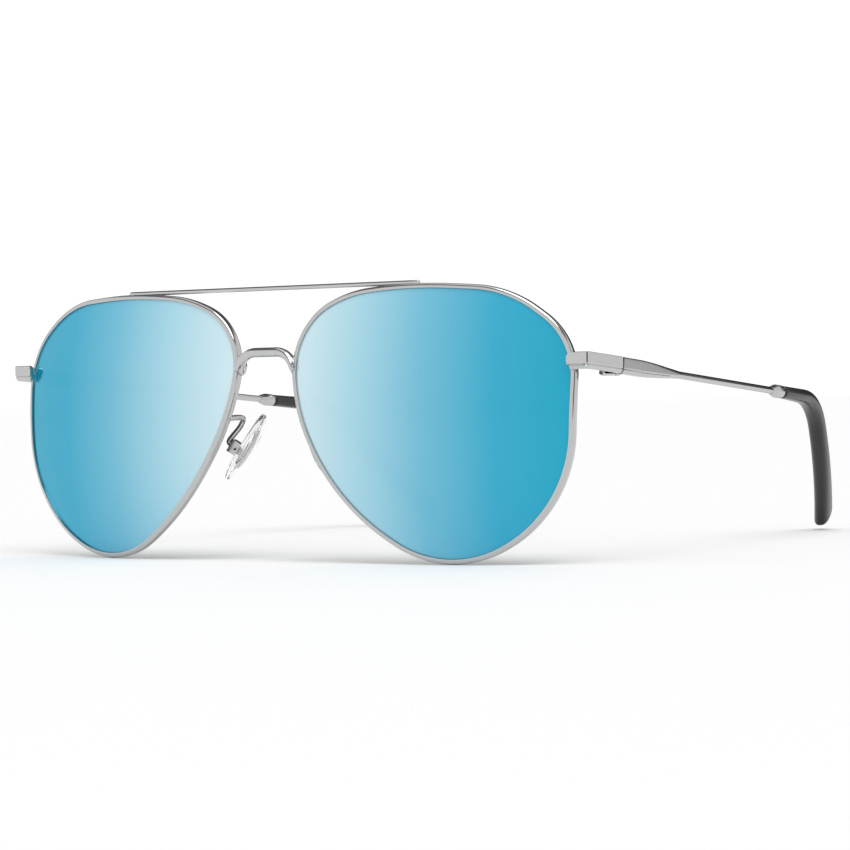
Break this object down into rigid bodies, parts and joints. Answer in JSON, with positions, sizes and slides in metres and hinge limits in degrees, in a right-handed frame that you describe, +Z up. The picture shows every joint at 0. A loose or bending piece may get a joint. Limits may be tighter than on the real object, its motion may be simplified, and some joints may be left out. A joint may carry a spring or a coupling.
{
  "type": "aviator sunglasses",
  "caption": "Metal aviator sunglasses with mirrored teardrop lenses, a brow bar, screw-mounted nose pads and hinged temples with plastic tips.",
  "frame": {"origin": "on the symmetry plane, at the middle of the depth, on the flat surface that the open glasses stand on", "axes": "+X towards the wearer's left, +Y back along the temples, +Z up; the front of the lenses faces -Y"},
  "size_m": [0.1384, 0.1434, 0.0535],
  "materials": {
    "rim_metal": "polished silver plating",
    "frame_metal": "polished silver plating",
    "temple_metal": "polished silver plating",
    "pad_metal": "polished silver plating",
    "screw_steel": "turned steel",
    "lens": "blue mirror coating on a tinted sheet",
    "tip_plastic": "smooth dark grey",
    "pad_silicone": "clear soft silicone"
  },
  "bodies": {
    "front": {"rim_left": "rim_metal", "rim_right": "rim_metal", "lens_left": "lens", "lens_right": "lens", "top_bar": "frame_metal", "bridge": "frame_metal", "end_piece_left": "frame_metal", "end_piece_right": "frame_metal", "lock_upper_left": "frame_metal", "lock_upper_right": "frame_metal", "lock_lower_left": "frame_metal", "lock_lower_right": "frame_metal", "lock_screw_left": "screw_steel", "lock_screw_right": "screw_steel", "front_hinge_left": "frame_metal", "front_hinge_right": "frame_metal", "hinge_screw_left": "screw_steel", "hinge_screw_right": "screw_steel", "pad_arm_left": "pad_metal", "pad_arm_right": "pad_metal", "pad_box_left": "pad_metal", "pad_box_right": "pad_metal", "pad_screw_left": "screw_steel", "pad_screw_right": "screw_steel"},
    "temple_left_body": {"temple_left": "temple_metal", "temple_hinge_left": "temple_metal", "ferrule_left": "temple_metal", "temple_tip_left": "tip_plastic"},
    "nose_pad_left_body": {"nose_pad_left": "pad_silicone", "pad_insert_left": "pad_metal"},
    "temple_right_body": {"temple_right": "temple_metal", "temple_hinge_right": "temple_metal", "ferrule_right": "temple_metal", "temple_tip_right": "tip_plastic"},
    "nose_pad_right_body": {"nose_pad_right": "pad_silicone", "pad_insert_right": "pad_metal"}
  },
  "joints": [
    {"name": "temple_left_fold", "type": "hinge", "parent": "front", "child": "temple_left_body", "pos_m": [0.06706, -0.04994, 0.03656], "axis": [0, 0.0053, 1], "range_deg": [0, 88]},
    {"name": "temple_right_fold", "type": "hinge", "parent": "front", "child": "temple_right_body", "pos_m": [-0.06706, -0.04994, 0.03656], "axis": [0, -0.0053, -1], "range_deg": [0, 82]},
    {"name": "nose_pad_left_rock", "type": "hinge", "parent": "front", "child": "nose_pad_left_body", "pos_m": [0.0115, -0.06299, 0.02178], "axis": [-0.5, -0.866, 0.0046], "range_deg": [-8, 8]},
    {"name": "nose_pad_right_rock", "type": "hinge", "parent": "front", "child": "nose_pad_right_body", "pos_m": [-0.0115, -0.06299, 0.02178], "axis": [-0.5, 0.866, -0.0046], "range_deg": [-8, 8]}
  ]
}
